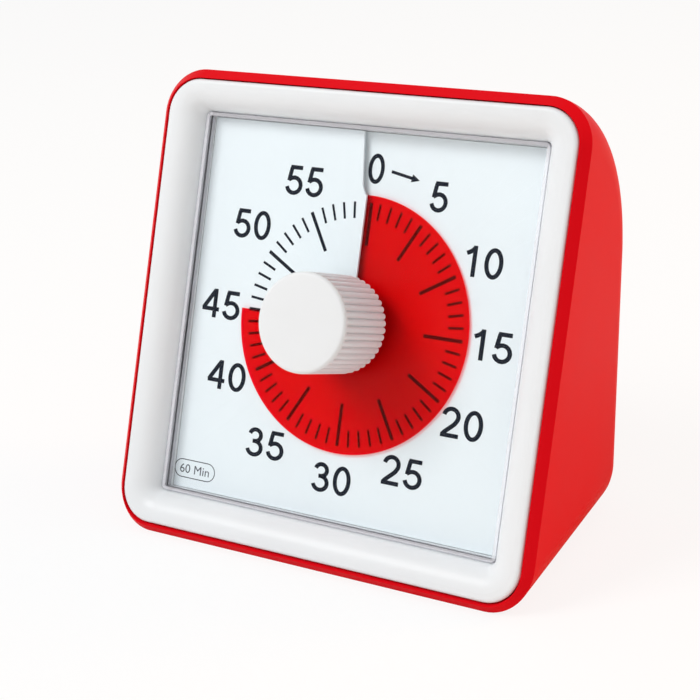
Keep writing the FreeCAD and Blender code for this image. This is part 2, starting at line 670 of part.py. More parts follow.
# Dial card: a square sheet, slit at the top, that climbs clockwise round the hub,
# so that the red disc passes through the slit.
card_half = size("card_thickness") / 2
far = size("face_width")
deep = 2 * size("disc_climb")
card_edge = size("lens_skirt") + size("card_gap")
card_side = window_half - card_edge
card_low, card_high = window_low + card_edge, window_high - card_edge
card_start = -size("disc_climb") / 2
card_sheet = helical_sheet(
    size("card_bore"), far, card_start - card_half, card_start + card_half,
    -size("card_lap"), 360 + size("card_lap") - size("slit_gap")
)
card_square = Part.makeBox(2 * card_side, card_high - card_low, 2 * deep, Vector(-card_side, card_low, -deep))
jog_corners = [
    Vector(-size("slit_side"), size("disc_radius"), 0),
    Vector(-size("slit_jog"), size("disc_radius") + size("jog_rise"), 0),
    Vector(-size("slit_lean"), card_high, 0),
    Vector(-size("slit_lean"), far, 0),
    Vector(size("slit_lean"), far, 0),
    Vector(size("slit_lean"), size("disc_radius"), 0),
]
jog = Part.Face(Part.makePolygon(jog_corners + jog_corners[:1])).extrude(Vector(0, 0, deep))
keep(shaped("card_form", card_sheet.common(card_square).cut(jog), FACE), "dial_card")

# Red time disc: a film with one radial cut, parallel to the card and half a climb above it.
disc_angle = size("disc_time") * 6
disc_half = size("disc_thickness") / 2
disc_form = helical_sheet(
    size("hub_radius") + size("body_gap"), size("disc_radius"), -disc_half, disc_half, disc_angle - 360, 360
)
keep(shaped("disc_form", disc_form, FACE), "time_disc")

# Dial tray: the plate that carries card, movement and lens; its ledge follows the card's back.
EARS = ("-movement_width / 2 - ear_reach", "movement_width / 2 + ear_reach")
tray_blank = window_block("tray_blank", "lens_lip", "-tray_floor - tray_plate", "lens_foot")
tray_dish = window_block("tray_dish", "-lens_skirt - tray_ledge", "-tray_floor", "lens_foot + 1")
seat_low, seat_high = card_start - card_half, card_start + card_half + deep
seat_sheet = helical_sheet(size("card_bore"), far, seat_low, seat_high, 0, 360 - size("slit_gap") / 2)
lap_sheet = helical_sheet(size("card_bore"), far, seat_low, seat_high, -size("card_lap"), size("card_lap") + 1)
seat_square = Part.makeBox(
    2 * (card_side + size("card_gap")), card_high - card_low + 2 * size("card_gap"), 2 * deep,
    Vector(-card_side - size("card_gap"), card_low - size("card_gap"), -deep)
)
tray_seat = shaped("tray_seat", seat_sheet.common(seat_square))
tray_lap = shaped("tray_lap", lap_sheet.common(seat_square))
tray_hole = rod("tray_hole", "spindle_radius + body_gap", "-tray_floor - tray_plate - 1", "0")
tray_notches = post_rods("tray_notch", "boss_radius + body_gap", "-2 * tray_floor - tray_plate", "bezel_seat")
movement_pilots = [
    rod("movement_pilot_%d" % n, "screw_radius", "-tray_floor - tray_plate - 1",
        "-tray_floor - body_gap", x, "ear_y")
    for n, x in enumerate(EARS, start=1)
]
keep(
    cut("tray_cut", tray_blank, tray_dish, tray_seat, tray_lap, tray_hole, *tray_notches, *movement_pilots),
    "dial_tray", FACE
)

# Disc hub: a spool on the spindle; the red disc floats between its flange and its collar.
DISC_REACH = "disc_climb + disc_thickness / 2 + body_gap"
hub_core = rod("hub_core", "hub_radius", "-(%s)" % DISC_REACH, "knob_base")
hub_back = rod("hub_back", "hub_flange", "-(%s) - flange_thickness" % DISC_REACH, "-(%s)" % DISC_REACH)
hub_front = rod("hub_front", "hub_collar", DISC_REACH, DISC_REACH + " + collar_thickness")
hub_bore = rod("hub_bore", "spindle_radius", "-tray_floor - 1", "knob_base + 1")
keep(cut("hub_cut", fuse("hub_solid", hub_core, hub_back, hub_front), hub_bore), "disc_hub", FACE)

# Spindle: the shaft from the movement to the knob, with a flat at its nose.
shaft = rod("shaft", "spindle_radius", "-spindle_tail", "spindle_nose")
shaft_flat = block(
    "shaft_flat", ("-spindle_radius - 1", "spindle_radius + 1"), ("spindle_flat", "spindle_radius + 1"),
    ("knob_base", "spindle_nose + 1")
)
keep(cut("spindle_cut", shaft, shaft_flat), "spindle", FACE)

# Knob: a drum with rounded grip ridges all round, bevelled at its front.
knob_body = doc.addObject("PartDesign::Body", "knob_body")
knob_plane = next(plane for plane in knob_body.Origin.OriginFeatures if plane.Role == "XY_Plane")


def knob_sketch(name, lines):
    """A sketch on the knob's base, with its shape closed where lines meet."""
    sketch = knob_body.newObject("Sketcher::SketchObject", name)
    sketch.AttachmentSupport = (knob_plane, [""])
    sketch.MapMode = "FlatFace"
    sketch.setExpression(".AttachmentOffset.Base.z", linked("knob_base"))
    for line in lines:
        sketch.addGeometry(line)
    if len(lines) > 1:
        for n in range(len(lines)):
            sketch.addConstraint(Sketcher.Constraint("Coincident", n, 2, (n + 1) % len(lines), 1))
    return sketch


def measure(sketch, kind, places, formula):
    """A length in a sketch that follows the sheet."""
    number = sketch.addConstraint(Sketcher.Constraint(kind, *places, 1))
    sketch.setExpression("Constraints[%d]" % number, linked(formula))


drum_sketch = knob_sketch("knob_drum_circle", [Part.Circle(Vector(), Vector(0, 0, 1), 1)])
drum_sketch.addConstraint(Sketcher.Constraint("Coincident", 0, 3, -1, 1))
measure(drum_sketch, "Radius", (0,), "knob_radius")
drum = knob_body.newObject("PartDesign::Pad", "knob_drum")
drum.Profile = drum_sketch
follow(drum, Length="knob_front - knob_base")
doc.recompute()
ridge_corners = (Vector(1, -2, 0), Vector(3, -1, 0), Vector(3, 1, 0), Vector(1, 2, 0))
ridge_lines = [Part.LineSegment(ridge_corners[n], ridge_corners[(n + 1) % 4]) for n in range(4)]
ridge_sketch = knob_sketch("knob_ridge_outline", ridge_lines)
ridge_sketch.addConstraint(Sketcher.Constraint("Symmetric", 0, 1, 2, 2, -1))
ridge_sketch.addConstraint(Sketcher.Constraint("Symmetric", 0, 2, 1, 2, -1))
measure(ridge_sketch, "DistanceX", (-1, 1, 0, 1), "knob_radius - ridge_reach")
measure(ridge_sketch, "DistanceX", (-1, 1, 0, 2), "knob_radius + ridge_reach")
measure(ridge_sketch, "DistanceY", (0, 1, 2, 2), "ridge_root")
measure(ridge_sketch, "DistanceY", (0, 2, 1, 2), "ridge_tip")
ridge = knob_body.newObject("PartDesign::Pad", "knob_ridge")
ridge.Profile = ridge_sketch
follow(ridge, Length="knob_front - knob_base")
doc.recompute()
ridges = knob_body.newObject("PartDesign::PolarPattern", "knob_ridges")
ridges.Originals = [ridge]
ridges.Axis = (ridge_sketch, ["N_Axis"])
ridges.Angle = 360
follow(ridges, Occurrences="ridge_count")
knob_body.Tip = ridges
KNOB_TIP = "knob_radius + ridge_reach"
knob_drum_space = rod("knob_drum_space", KNOB_TIP + " + 1", "knob_base", "knob_front - knob_bevel")
knob_bevel_space = doc.addObject("Part::Cone", "knob_bevel_space")
follow(knob_bevel_space, Radius1=KNOB_TIP, Radius2=KNOB_TIP + " - bevel_depth", Height="knob_bevel")
move(knob_bevel_space, "0", "0", "knob_front - knob_bevel")
knob_space = fuse("knob_space", knob_drum_space, knob_bevel_space)
knob_bore = rod("knob_bore", "spindle_radius", "knob_base - 1", "spindle_nose")
knob_key = block(
    "knob_key", ("-spindle_radius - 1", "spindle_radius + 1"), ("spindle_flat", "spindle_radius + 1"),
    ("knob_base - 1", "spindle_nose + 1")
)
knob_bore_keyed = cut("knob_bore_keyed", knob_bore, knob_key)
knob_solid = overlap("knob_solid", knob_body, knob_space)
keep(cut("knob_cut", knob_solid, knob_bore_keyed), "knob", FACE)

# Movement: two case halves behind the tray, with a stepping motor and three wheels.
MOVE_FRONT = "-tray_floor - tray_plate"
MOVE_JOIN = "-tray_floor - tray_plate - movement_split"
MOVE_BACK = "-tray_floor - tray_plate - movement_depth"
MOVE_X = ("-movement_width / 2", "movement_width / 2")
MOVE_Y = ("-movement_low", "movement_top")
INSIDE_X = ("-movement_width / 2 + movement_wall", "movement_width / 2 - movement_wall")
INSIDE_Y = ("-movement_low + movement_wall", "movement_top - movement_wall")
third_x = "centre_wheel_radius + third_pinion_radius + mesh_gap"
second_reach = "(third_wheel_radius + second_pinion_radius + mesh_gap)"
second_x = "%s + %s * cos(second_wheel_bearing)" % (third_x, second_reach)
second_y = "%s * sin(second_wheel_bearing)" % second_reach
rotor_y = "%s + second_wheel_radius + rotor_pinion_radius + mesh_gap" % second_y
ARBORS = ((third_x, "0"), (second_x, second_y), (second_x, rotor_y))
ARBOR_LOW = MOVE_BACK + " + movement_wall / 2"
ARBOR_HIGH = MOVE_FRONT + " - movement_wall / 2"


def arbor_holes(name):
    return [
        rod("%s_%d" % (name, n), "arbor_radius + running_gap", ARBOR_LOW + " - running_gap",
            ARBOR_HIGH + " + running_gap", x, y)
        for n, (x, y) in enumerate(ARBORS, start=1)
    ]


front_blank = block("movement_front_blank", MOVE_X, MOVE_Y, (MOVE_JOIN, MOVE_FRONT))
front_space = block("movement_front_space", INSIDE_X, INSIDE_Y, (MOVE_JOIN + " - 1", MOVE_FRONT + " - movement_wall"))
front_bore = rod("movement_front_bore", "spindle_radius + running_gap", MOVE_JOIN, MOVE_FRONT + " + 1")
ears = []
ear_holes = []
for n, (ear_x, side) in enumerate(zip(EARS, MOVE_X), start=1):
    span = (ear_x, side) if n == 1 else (side, ear_x)
    ear_z = (MOVE_FRONT + " - ear_thickness", MOVE_FRONT)
    ears.append(rod("ear_round_%d" % n, "ear_radius", *ear_z, ear_x, "ear_y"))
    ears.append(block("ear_web_%d" % n, span, ("ear_y - ear_radius", "ear_y + ear_radius"), ear_z))
    ear_holes.append(rod("ear_hole_%d" % n, "screw_hole", ear_z[0] + " - 1", MOVE_FRONT + " + 1", ear_x, "ear_y"))
front_half = cut("movement_front_shell", fuse("movement_front_solid", front_blank, *ears), front_space)
keep(
    cut("movement_front_cut", front_half, front_bore, *ear_holes, *arbor_holes("front_arbor_hole")),
    "movement_front", FACE
)
rear_blank = block("movement_rear_blank", MOVE_X, MOVE_Y, (MOVE_BACK, MOVE_JOIN))
rear_space = block("movement_rear_space", INSIDE_X, INSIDE_Y, (MOVE_BACK + " + movement_wall", MOVE_JOIN + " + 1"))
rear_bore = rod("movement_rear_bore", "spindle_radius + running_gap", MOVE_BACK + " - 1", MOVE_JOIN)
rear_half = cut("movement_rear_shell", rear_blank, rear_space)
keep(cut("movement_rear_cut", rear_half, rear_bore, *arbor_holes("rear_arbor_hole")), "movement_rear", FACE)

# Centre wheel and its friction washer, on the spindle.
CENTRE_FRONT = "-centre_wheel_back + wheel_thickness"
centre_disc = rod("centre_disc", "centre_wheel_radius", "-centre_wheel_back", CENTRE_FRONT)
centre_bore = rod("centre_bore", "spindle_radius", "-centre_wheel_back - 1", "0")
keep(cut("centre_wheel_cut", centre_disc, centre_bore), "centre_wheel", FACE)
washer_disc = rod("washer_disc", "washer_radius", CENTRE_FRONT, CENTRE_FRONT + " + washer_thickness")
washer_bore = rod("washer_bore", "spindle_radius", "-centre_wheel_back - 1", "0")
keep(cut("washer_cut", washer_disc, washer_bore), "clutch_washer", FACE)


def wheel(label, x, y, radius, back, pinion_radius, pinion_low, pinion_high):
    """A wheel, its pinion and their arbor."""
    disc = rod(label + "_disc", radius, "-" + back, "-%s + wheel_thickness" % back, x, y)
    pinion = rod(label + "_pinion", pinion_radius, pinion_low, pinion_high, x, y)
    arbor = rod(label + "_arbor", "arbor_radius", ARBOR_LOW, ARBOR_HIGH, x, y)
    keep(fuse(label + "_solid", disc, pinion, arbor), label, FACE)


wheel(
    "third_wheel", third_x, "0", "third_wheel_radius", "third_wheel_back", "third_pinion_radius",
    "-centre_wheel_back - wheel_thickness / 4", "-third_wheel_back"
)
wheel(
    "second_wheel", second_x, second_y, "second_wheel_radius", "second_wheel_back", "second_pinion_radius",
    "-third_wheel_back - wheel_thickness / 4", "-third_wheel_back + wheel_thickness * 1.5"
)
magnet = rod("magnet", "rotor_radius", "-rotor_back", "-rotor_back + rotor_length", second_x, rotor_y)
rotor_pinion = rod(
    "rotor_pinion", "rotor_pinion_radius", "-second_wheel_back - wheel_thickness / 4", "-rotor_back",
    second_x, rotor_y
)
rotor_arbor = rod("rotor_arbor", "arbor_radius", ARBOR_LOW, ARBOR_HIGH, second_x, rotor_y)
keep(fuse("rotor_solid", magnet, rotor_pinion, rotor_arbor), "rotor", FACE)

# Stator round the rotor, with the coil on its core.
STATOR_BACK = "-rotor_back + (rotor_length - stator_thickness) / 2"
STATOR_Z = (STATOR_BACK, STATOR_BACK + " + stator_thickness")
STATOR_HALF = "(rotor_radius + body_gap + stator_margin)"
core_low = rotor_y + " + rotor_radius + body_gap"
stator_block = block(
    "stator_block",
    ("%s - %s" % (second_x, STATOR_HALF), "%s + %s" % (second_x, STATOR_HALF)),
    ("%s - rotor_radius - body_gap - stator_margin / 4" % rotor_y, core_low + " + core_width"),
    STATOR_Z,
)
stator_core = block("stator_core", ("-coil_left - 1", second_x), (core_low, core_low + " + core_width"), STATOR_Z)
stator_hole = rod("stator_hole", "rotor_radius + body_gap", STATOR_BACK + " - 1", STATOR_BACK + " + 2", second_x, rotor_y)
keep(cut("stator_cut", fuse("stator_solid", stator_block, stator_core), stator_hole), "stator", FACE)
coil_y = core_low + " + core_width / 2"
coil_z = STATOR_BACK + " + stator_thickness / 2"
winding = rod("winding", "coil_radius", "-coil_left", "-coil_left + coil_length", coil_y, coil_z, "x")
coil_core = block("coil_core", ("-coil_left - 1", "0 + coil_length"), (core_low, core_low + " + core_width"), STATOR_Z)
keep(cut("coil_cut", winding, coil_core), "drive_coil", FACE)

# Circuit board with the sounder and the volume switch, behind the movement.
BOARD_Y = (BOARD_BACK + " - board_thickness", BOARD_BACK)
board = block("board", ("-board_width / 2", "board_width / 2"), BOARD_Y, ("board_low", "board_top"))
board_holes = [
    rod("board_hole_%d" % n, "screw_radius", BOARD_Y[0] + " - 1", BOARD_BACK + " + 1", x, "board_post_z", "y")
    for n, x in enumerate(("-board_post_x", "board_post_x"), start=1)
]
keep(cut("board_cut", board, *board_holes), "circuit_board")
can = rod("sounder_can", "sounder_radius", BOARD_BACK, BOARD_BACK + " + sounder_length", "-sounder_x", "panel_height", "y")
can_hole = rod("sounder_hole", "sound_hole", BOARD_BACK + " + sounder_length / 2", BACK, "-sounder_x", "panel_height", "y")
keep(cut("sounder_cut", can, can_hole), "sounder")
SWITCH_BACK = PANEL_BACK + " - panel_wall"
FOOT_BACK = SWITCH_BACK + " - body_gap"
FOOT_FRONT = FOOT_BACK + " - foot_thickness"
FOOT_HALF_Z = "(slider_tall / 2 + body_gap)"
switch_block = block(
    "switch_block",
    ("switch_x - switch_width / 2", "switch_x + switch_width / 2"),
    (BOARD_BACK, SWITCH_BACK),
    ("panel_height - switch_tall / 2", "panel_height + switch_tall / 2"),
)
foot_reach = "slider_foot / 2 + switch_travel + body_gap"
switch_channel = block(
    "switch_channel",
    ("switch_x - (%s)" % foot_reach, "switch_x + " + foot_reach),
    (FOOT_FRONT + " - body_gap", SWITCH_BACK + " + 1"),
    ("panel_height - %s - body_gap" % FOOT_HALF_Z, "panel_height + %s + body_gap" % FOOT_HALF_Z),
)
keep(cut("switch_cut", switch_block, switch_channel), "switch_body")
slider_stem = block(
    "slider_stem",
    ("switch_x - slider_width / 2", "switch_x + slider_width / 2"),
    (FOOT_FRONT, BACK + " - slider_below"),
    ("panel_height - slider_tall / 2", "panel_height + slider_tall / 2"),
)
slider_base = block(
    "slider_base",
    ("switch_x - slider_foot / 2", "switch_x + slider_foot / 2"),
    (FOOT_FRONT, FOOT_BACK),
    ("panel_height - " + FOOT_HALF_Z, "panel_height + " + FOOT_HALF_Z),
)
keep(fuse("slider_solid", slider_stem, slider_base), "volume_slider")

# Battery door: it swings down on two pins at its lower corners.
door_plate = block("door_plate", ("-door_width / 2", "door_width / 2"), (DOOR_INSIDE, BACK), ("door_low", "door_top"))
door_barrel = rod("door_barrel", "door_thickness / 2", "-door_width / 2", "door_width / 2", HINGE_Y, "door_low", "x")
door_pins = rod("door_pins", "pin_radius", "-(%s)" % PIN_REACH, PIN_REACH, HINGE_Y, "door_low", "x")
LATCH_TOP = BAY_HIGH + " - body_gap"
door_latch = block(
    "door_latch", ("-latch_width / 2", "latch_width / 2"), (DOOR_INSIDE + " - latch_depth", BACK),
    (LATCH_TOP + " - latch_tall", LATCH_TOP)
)
grip_grooves = []
for n in range(int(size("grip_count"))):
    groove_top = "door_top - %d * grip_pitch" % (n + 1)
    grip_grooves.append(block(
        "grip_groove_%d" % (n + 1), ("-grip_width / 2", "grip_width / 2"),
        (BACK + " - grip_depth", BACK + " + 1"), (groove_top + " - grip_groove", groove_top)
    ))
keep(cut("door_cut", fuse("door_solid", door_plate, door_barrel, door_pins, door_latch), *grip_grooves), "battery_door")

# One cell on its side in the bay, between a plate and a coil spring.
CELL_Y = "case_depth / 2 - cell_back"
PLATE_X = "-bay_width / 2 + contact_thickness"
CELL_END = PLATE_X + " + cell_nub + cell_length"
cell_nub = rod("cell_nub_rod", "cell_nub_radius", PLATE_X, PLATE_X + " + cell_nub + 1", CELL_Y, "cell_height", "x")
cell_can = rod("cell_can", "cell_radius", PLATE_X + " + cell_nub", CELL_END, CELL_Y, "cell_height", "x")
keep(fuse("cell_solid", cell_nub, cell_can), "battery_cell")
CONTACT_Y = (CELL_Y + " - contact_width / 2", CELL_Y + " + contact_width / 2")
CONTACT_Z = ("cell_height - contact_tall / 2", "cell_height + contact_tall / 2")
for label, span in (
    ("contact_plus", ("-bay_width / 2", PLATE_X)),
    ("contact_minus", ("bay_width / 2 - contact_thickness", "bay_width / 2")),
):
    plate = block(label + "_plate", span, CONTACT_Y, CONTACT_Z)
    tail_z = (BAY_LOW, "cell_height")
    tail = block(label + "_tail", span, (CELL_Y + " - contact_width / 6", CELL_Y + " + contact_width / 6"), tail_z)
    keep(fuse(label + "_solid", plate, tail), label)
wire = size("spring_wire")
spring_start = size("bay_width") / 2 - size("contact_thickness")
spring_end = -size("bay_width") / 2 + size("contact_thickness") + size("cell_nub") + size("cell_length")
spring_length = spring_start - spring_end - 2 * wire
spring = wound_wire(size("spring_radius"), wire, spring_length, size("spring_turns"))
spring_place = Placement(
    Vector(spring_end + wire, size("case_depth") / 2 - size("cell_back"), size("cell_height")), AXIS_TURNS["x"]
)
keep(shaped("spring_form", spring, spring_place), "contact_spring")

# Screws: two for the case, two for the movement and two for the board.
for n, (x, y) in enumerate(POSTS, start=1):
    screw("case_screw_%d" % n, "screw_length", "-head_seat", x, y, FACE)
for n, x in enumerate(EARS, start=1):
    seat = MOVE_FRONT + " - ear_thickness"
    screw("movement_screw_%d" % n, "ear_thickness + tray_plate - body_gap", seat, x, "ear_y", FACE)
board_frame = Placement(Vector(0, 0, 0), AXIS_TURNS["y"])
for n, x in enumerate(("-board_post_x", "board_post_x"), start=1):
    screw("board_screw_%d" % n, "board_screw_length", BOARD_Y[0], x, "-board_post_z", board_frame)

doc.recompute()
for thing in doc.Objects:
    if "Invalid" in thing.State or "Error" in thing.State:
        raise RuntimeError("%s could not be built" % thing.Name)
for piece in pieces:
    if piece.Shape.isNull() or not piece.Shape.isValid():
        raise RuntimeError("%s has no valid shape" % piece.Label)
os.makedirs("parts", exist_ok=True)
for piece in pieces:
    piece.Shape.exportStep("parts/%s.step" % piece.Label)
print("dial centre", round(dial_y, 3), round(dial_z, 3), "pieces", len(pieces))
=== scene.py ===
import json
import math

import bpy
from mathutils import Matrix, Vector


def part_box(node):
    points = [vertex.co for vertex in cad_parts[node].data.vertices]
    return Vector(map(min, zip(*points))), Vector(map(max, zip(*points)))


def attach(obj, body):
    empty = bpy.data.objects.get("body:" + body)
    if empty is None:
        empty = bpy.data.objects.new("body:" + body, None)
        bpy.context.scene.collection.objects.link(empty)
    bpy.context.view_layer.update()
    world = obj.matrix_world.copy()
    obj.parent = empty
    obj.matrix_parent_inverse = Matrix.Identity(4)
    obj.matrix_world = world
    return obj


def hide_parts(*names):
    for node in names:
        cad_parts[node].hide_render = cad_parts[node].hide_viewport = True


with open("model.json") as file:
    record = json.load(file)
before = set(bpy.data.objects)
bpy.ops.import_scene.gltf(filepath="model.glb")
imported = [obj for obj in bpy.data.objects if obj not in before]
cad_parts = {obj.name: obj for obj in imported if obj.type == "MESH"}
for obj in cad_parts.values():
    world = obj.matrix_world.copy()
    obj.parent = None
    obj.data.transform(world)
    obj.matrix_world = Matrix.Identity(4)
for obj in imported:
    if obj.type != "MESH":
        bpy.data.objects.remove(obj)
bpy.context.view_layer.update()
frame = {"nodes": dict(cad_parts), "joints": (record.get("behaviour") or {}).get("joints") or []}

# The studio: a pale floor with a soft shadow, a white surround and three broad lamps.
# The camera stands right of the timer and a little above its dial, as the photographer did.
MM = 0.001
camera_place = Vector((138.46, -228.86, 129.25)) * MM
camera_turn = [math.radians(angle) for angle in (69.694, 2.539, 30.79)]
camera_data = bpy.data.cameras.new("camera")
camera_data.lens = 88.62
camera_data.sensor_width = 36.0
camera_data.shift_x = -0.0089
camera_data.shift_y = -0.0044
camera_data.clip_start = 0.01
camera = bpy.data.objects.new("camera", camera_data)
camera.location = camera_place
camera.rotation_euler = camera_turn
bpy.context.collection.objects.link(camera)
bpy.context.scene.camera = camera
bpy.context.scene.view_settings.view_transform = "Standard"


def soft_lamp(name, place, side, power, colour=(1, 1, 1)):
    """A square lamp that faces the timer."""
    lamp = bpy.data.lights.new(name, "AREA")
    lamp.size = side
    lamp.energy = power
    lamp.color = colour
    stand = bpy.data.objects.new(name, lamp)
    stand.location = place
    stand.rotation_euler = (Vector((0, 0, 0.035)) - stand.location).to_track_quat("-Z", "Y").to_euler()
    bpy.context.collection.objects.link(stand)


soft_lamp("key_lamp", Vector((-0.35, -0.45, 0.60)), 0.35, 3.4)
soft_lamp("fill_lamp", Vector((0.55, -0.50, 0.30)), 0.40, 0.2)
soft_lamp("back_lamp", Vector((0.45, 0.40, 0.40)), 0.30, 2.2, (1.0, 0.50, 0.12))

world = bpy.data.worlds.new("surround")
bpy.context.scene.world = world
world.use_nodes = True
world_nodes, world_links = world.node_tree.nodes, world.node_tree.links
surround = world_nodes["Background"]
surround.inputs["Color"].default_value = (1, 1, 1, 1)
paths = world_nodes.new("ShaderNodeLightPath")
shown = paths.outputs["Is Camera Ray"]
for ray in ("Is Transmission Ray", "Is Glossy Ray"):
    either_ray = world_nodes.new("ShaderNodeMath")
    either_ray.operation = "MAXIMUM"
    world_links.new(shown, either_ray.inputs[0])
    world_links.new(paths.outputs[ray], either_ray.inputs[1])
    shown = either_ray.outputs["Value"]
bright = world_nodes.new("ShaderNodeMapRange")
light_on_timer, white_background = 0.50, 1.0
bright.inputs["To Min"].default_value = light_on_timer
bright.inputs["To Max"].default_value = white_background
world_links.new(shown, bright.inputs["Value"])
world_links.new(bright.outputs["Result"], surround.inputs["Strength"])

bpy.ops.object.select_all(action="DESELECT")
bpy.ops.mesh.primitive_plane_add(size=6, location=(0, 0, -0.00005))
floor = bpy.context.object
floor.name = "floor"
floor_paint = bpy.data.materials.new("floor_paint")
floor_paint.use_nodes = True
floor_nodes, floor_links = floor_paint.node_tree.nodes, floor_paint.node_tree.links
floor_base = floor_nodes["Principled BSDF"]
floor_base.inputs["Base Color"].default_value = (0.93, 0.93, 0.93, 1)
floor_base.inputs["Roughness"].default_value = 0.9
floor_glow = floor_nodes.new("ShaderNodeEmission")
floor_glow.inputs["Strength"].default_value = 1.0
floor_paths = floor_nodes.new("ShaderNodeLightPath")
floor_seen = floor_nodes.new("ShaderNodeMath")
floor_seen.operation = "MULTIPLY"
floor_seen.inputs[1].default_value = 0.85
floor_mix = floor_nodes.new("ShaderNodeMixShader")
floor_links.new(floor_paths.outputs["Is Camera Ray"], floor_seen.inputs[0])
floor_links.new(floor_seen.outputs["Value"], floor_mix.inputs["Fac"])
floor_links.new(floor_base.outputs["BSDF"], floor_mix.inputs[1])
floor_links.new(floor_glow.outputs["Emission"], floor_mix.inputs[2])
floor_links.new(floor_mix.outputs["Shader"], floor_nodes["Material Output"].inputs["Surface"])
floor.data.materials.append(floor_paint)

# Red case: the rear housing and its battery door, moulded in satin red ABS.
# The moulding has a faint spark texture and a slight change of tone over the large faces.


def moulded_plastic(name, colour, roughness, grain, shine=0.5):
    """A moulded plastic with a fine grain, slow changes of tone and uneven gloss."""
    material = bpy.data.materials.new(name)
    material.use_nodes = True
    nodes, links = material.node_tree.nodes, material.node_tree.links
    shader = nodes["Principled BSDF"]
    shader.inputs["Specular IOR Level"].default_value = shine
    place = nodes.new("ShaderNodeTexCoord")
    tone = nodes.new("ShaderNodeTexNoise")
    tone.inputs["Scale"].default_value = 45
    tone.inputs["Detail"].default_value = 3
    links.new(place.outputs["Object"], tone.inputs["Vector"])
    tone_mix = nodes.new("ShaderNodeMix")
    tone_mix.data_type = "RGBA"
    tone_mix.inputs["A"].default_value = (*[channel * 0.95 for channel in colour], 1)
    tone_mix.inputs["B"].default_value = (*[min(1.0, channel * 1.04) for channel in colour], 1)
    links.new(tone.outputs["Fac"], tone_mix.inputs["Factor"])
    links.new(tone_mix.outputs["Result"], shader.inputs["Base Color"])
    gloss = nodes.new("ShaderNodeMapRange")
    gloss.inputs["To Min"].default_value = roughness - 0.04
    gloss.inputs["To Max"].default_value = roughness + 0.05
    links.new(tone.outputs["Fac"], gloss.inputs["Value"])
    links.new(gloss.outputs["Result"], shader.inputs["Roughness"])
    spark = nodes.new("ShaderNodeTexNoise")
    spark.inputs["Scale"].default_value = 5200
    spark.inputs["Detail"].default_value = 2
    links.new(place.outputs["Object"], spark.inputs["Vector"])
    bump = nodes.new("ShaderNodeBump")
    bump.inputs["Strength"].default_value = grain
    bump.inputs["Distance"].default_value = 0.00003
    links.new(spark.outputs["Fac"], bump.inputs["Height"])
    links.new(bump.outputs["Normal"], shader.inputs["Normal"])
    return material


def dress(node, material):
    """Give a carried-over piece its material."""
    mesh = frame["nodes"][node].data
    mesh.materials.clear()
    mesh.materials.append(material)


red_plastic = moulded_plastic("red_case_plastic", (0.72, 0.003, 0.009), 0.40, 0.10, 0.03)
for node in ("rear_housing", "battery_door"):
    dress(node, red_plastic)

# White front: the bezel is moulded in glossy white ABS and snaps into the case's rim.
# The volume slider on the back is the same plastic.
white_plastic = moulded_plastic("white_front_plastic", (0.80, 0.82, 0.835), 0.32, 0.06, 0.25)
for node in ("front_bezel", "volume_slider"):
    dress(node, white_plastic)

# Window lens: a clear moulded sheet behind the bezel, with faint polishing marks.
# Outside the card's outline it is half covered by a pale lilac coat: painted light that lightens the
# shaded gap round the card's edge.
clear_plastic = bpy.data.materials.new("clear_window_plastic")
clear_plastic.use_nodes = True
clear_nodes, clear_links = clear_plastic.node_tree.nodes, clear_plastic.node_tree.links
clear_nodes.remove(clear_nodes["Principled BSDF"])
clear_through = clear_nodes.new("ShaderNodeBsdfTransparent")
clear_through.inputs["Color"].default_value = (0.985, 0.99, 0.992, 1)
clear_gloss = clear_nodes.new("ShaderNodeBsdfGlossy")
clear_gloss.inputs["Color"].default_value = (1, 1, 1, 1)
clear_place = clear_nodes.new("ShaderNodeTexCoord")
clear_marks = clear_nodes.new("ShaderNodeTexNoise")
clear_marks.inputs["Scale"].default_value = 220
clear_marks.inputs["Detail"].default_value = 4
clear_links.new(clear_place.outputs["Object"], clear_marks.inputs["Vector"])
clear_haze = clear_nodes.new("ShaderNodeMapRange")
clear_haze.inputs["To Min"].default_value = 0.03
clear_haze.inputs["To Max"].default_value = 0.10
clear_links.new(clear_marks.outputs["Fac"], clear_haze.inputs["Value"])
clear_links.new(clear_haze.outputs["Result"], clear_gloss.inputs["Roughness"])
clear_facing = clear_nodes.new("ShaderNodeLayerWeight")
clear_facing.inputs["Blend"].default_value = 0.5
clear_steep = clear_nodes.new("ShaderNodeMath")
clear_steep.operation = "POWER"
clear_steep.inputs[1].default_value = 4.0
clear_links.new(clear_facing.outputs["Facing"], clear_steep.inputs[0])
clear_share = clear_nodes.new("ShaderNodeMapRange")
clear_share.inputs["To Min"].default_value = 0.004
clear_share.inputs["To Max"].default_value = 0.5
clear_links.new(clear_steep.outputs["Value"], clear_share.inputs["Value"])
clear_mix = clear_nodes.new("ShaderNodeMixShader")
clear_links.new(clear_share.outputs["Result"], clear_mix.inputs["Fac"])
clear_links.new(clear_through.outputs["BSDF"], clear_mix.inputs[1])
clear_links.new(clear_gloss.outputs["BSDF"], clear_mix.inputs[2])
knob_joint = next(joint for joint in frame["joints"] if joint["name"] == "knob_turn")
dial_centre = Vector(knob_joint["pos_m"])
outward = Vector(knob_joint["axis"])
face_turn = math.atan2(-outward.y, outward.z)
face_frame = Matrix.Translation(dial_centre) @ Matrix.Rotation(face_turn, 4, "X")
card_spots = [face_frame.inverted() @ corner.co for corner in frame["nodes"]["dial_card"].data.vertices]
card_side = max(spot.x for spot in card_spots)
card_top = max(spot.y for spot in card_spots)
card_foot = min(spot.y for spot in card_spots)
skirt_gap, skirt_painted_light_amount = 0.06 * MM, 0.5
clear_face = clear_nodes.new("ShaderNodeMapping")
clear_face.vector_type = "TEXTURE"
clear_face.inputs["Location"].default_value = dial_centre
clear_face.inputs["Rotation"].default_value = (face_turn, 0, 0)
clear_split = clear_nodes.new("ShaderNodeSeparateXYZ")
clear_links.new(clear_place.outputs["Object"], clear_face.inputs["Vector"])
